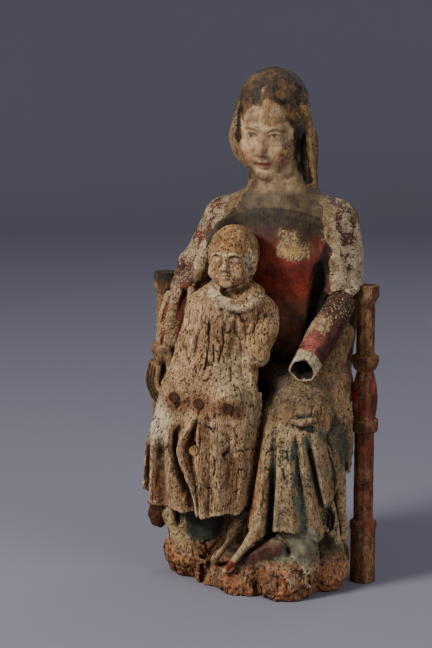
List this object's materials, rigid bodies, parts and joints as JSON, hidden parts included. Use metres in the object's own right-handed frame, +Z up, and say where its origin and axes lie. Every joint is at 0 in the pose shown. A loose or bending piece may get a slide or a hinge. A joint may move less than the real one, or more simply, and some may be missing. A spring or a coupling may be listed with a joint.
{
  "type": "enthroned madonna statue",
  "caption": "Worn painted wooden figure of a seated woman in a veil with a child pegged on her knee, between turned throne posts.",
  "frame": {"origin": "ground level under the middle of the bench, on the block's flat underside", "axes": "+Z up, the figure looks along -Y, +X to the viewer's right (the figure's left)"},
  "size_m": [0.3664, 0.241, 0.772],
  "materials": {
    "painted_wood": "old oak-like carving wood with worn red, cream, teal and flesh paint over chalk ground",
    "bare_wood": "bare weathered wood, cracked and worm-eaten, with whitish remains of ground",
    "sleeve_paint": "worn dull red paint over chalk ground",
    "post_wood": "bare weathered wood",
    "post_paint": "worn dark red paint",
    "peg_wood": "end grain of round pegs"
  },
  "bodies": {
    "root": {"madonna": "painted_wood", "child": "bare_wood", "forearm": "sleeve_paint", "post_left": "post_paint", "post_right": "post_wood", "peg_right": "peg_wood", "peg_middle": "peg_wood", "peg_left": "peg_wood", "peg_low": "peg_wood"}
  },
  "joints": []
}
